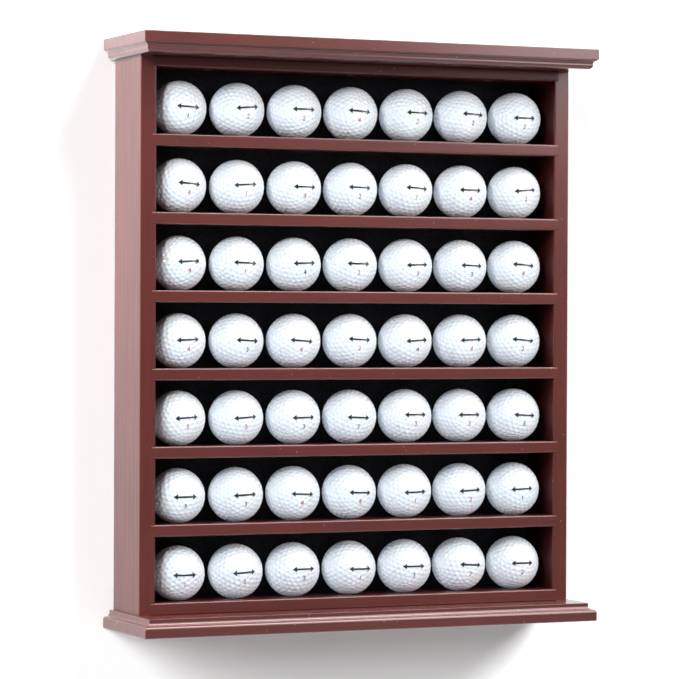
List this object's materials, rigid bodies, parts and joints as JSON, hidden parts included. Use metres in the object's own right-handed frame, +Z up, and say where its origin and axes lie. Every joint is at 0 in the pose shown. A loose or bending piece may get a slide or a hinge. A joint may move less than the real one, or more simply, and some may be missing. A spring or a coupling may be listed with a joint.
{
  "type": "golf ball display case",
  "caption": "Open-fronted wall case of stained wood whose shelves hold golf balls in dished seats, between a moulded cap plank and a moulded base plank.",
  "frame": {"origin": "middle of the outer box, on the plane that the base stands on", "axes": "+X along the shelves to the right as seen from the front, +Y towards the wall, +Z up; the open front faces -Y"},
  "size_m": [0.3834, 0.0922, 0.4529],
  "materials": {
    "stained_wood": "reddish-brown stain under satin lacquer, fine straight grain",
    "felt": "black wool felt",
    "back_board": "brown hardboard, smooth and unlacquered",
    "zinc_steel": "zinc-plated",
    "plate_steel": "pressed steel, zinc-plated",
    "ball_cover": "white ball cover, clear coated, dimpled in the visual model"
  },
  "bodies": {
    "case": {"left_side": "stained_wood", "right_side": "stained_wood", "top_board": "stained_wood", "bottom_board": "stained_wood", "shelf_1": "stained_wood", "shelf_2": "stained_wood", "shelf_3": "stained_wood", "shelf_4": "stained_wood", "shelf_5": "stained_wood", "shelf_6": "stained_wood", "felt_lining": "felt", "back_panel": "back_board", "hanging_rail": "stained_wood", "left_hanger_block": "stained_wood", "right_hanger_block": "stained_wood", "lower_rail": "stained_wood", "cap_plank": "stained_wood", "base_plank": "stained_wood", "base_screws": "zinc_steel", "cap_screws": "zinc_steel", "rail_screws": "zinc_steel", "panel_brads": "zinc_steel", "keyhole_plates": "plate_steel", "plate_screws": "zinc_steel"},
    "row_1": {"balls_row_1": "ball_cover"},
    "row_2": {"balls_row_2": "ball_cover"},
    "row_3": {"balls_row_3": "ball_cover"},
    "row_4": {"balls_row_4": "ball_cover"},
    "row_5": {"balls_row_5": "ball_cover"},
    "row_6": {"balls_row_6": "ball_cover"},
    "row_7": {"balls_row_7": "ball_cover"}
  },
  "joints": [
    {"name": "lift_row_1", "type": "slide", "parent": "case", "child": "row_1", "axis": [0, -0.9681, 0.2504], "range_m": [0, 0.055]},
    {"name": "lift_row_2", "type": "slide", "parent": "case", "child": "row_2", "axis": [0, -0.9681, 0.2504], "range_m": [0, 0.055]},
    {"name": "lift_row_3", "type": "slide", "parent": "case", "child": "row_3", "axis": [0, -0.9681, 0.2504], "range_m": [0, 0.055]},
    {"name": "lift_row_4", "type": "slide", "parent": "case", "child": "row_4", "axis": [0, -0.9681, 0.2504], "range_m": [0, 0.055]},
    {"name": "lift_row_5", "type": "slide", "parent": "case", "child": "row_5", "axis": [0, -0.9681, 0.2504], "range_m": [0, 0.055]},
    {"name": "lift_row_6", "type": "slide", "parent": "case", "child": "row_6", "axis": [0, -0.9681, 0.2504], "range_m": [0, 0.055]},
    {"name": "lift_row_7", "type": "slide", "parent": "case", "child": "row_7", "axis": [0, -0.9681, 0.2504], "range_m": [0, 0.055]}
  ]
}
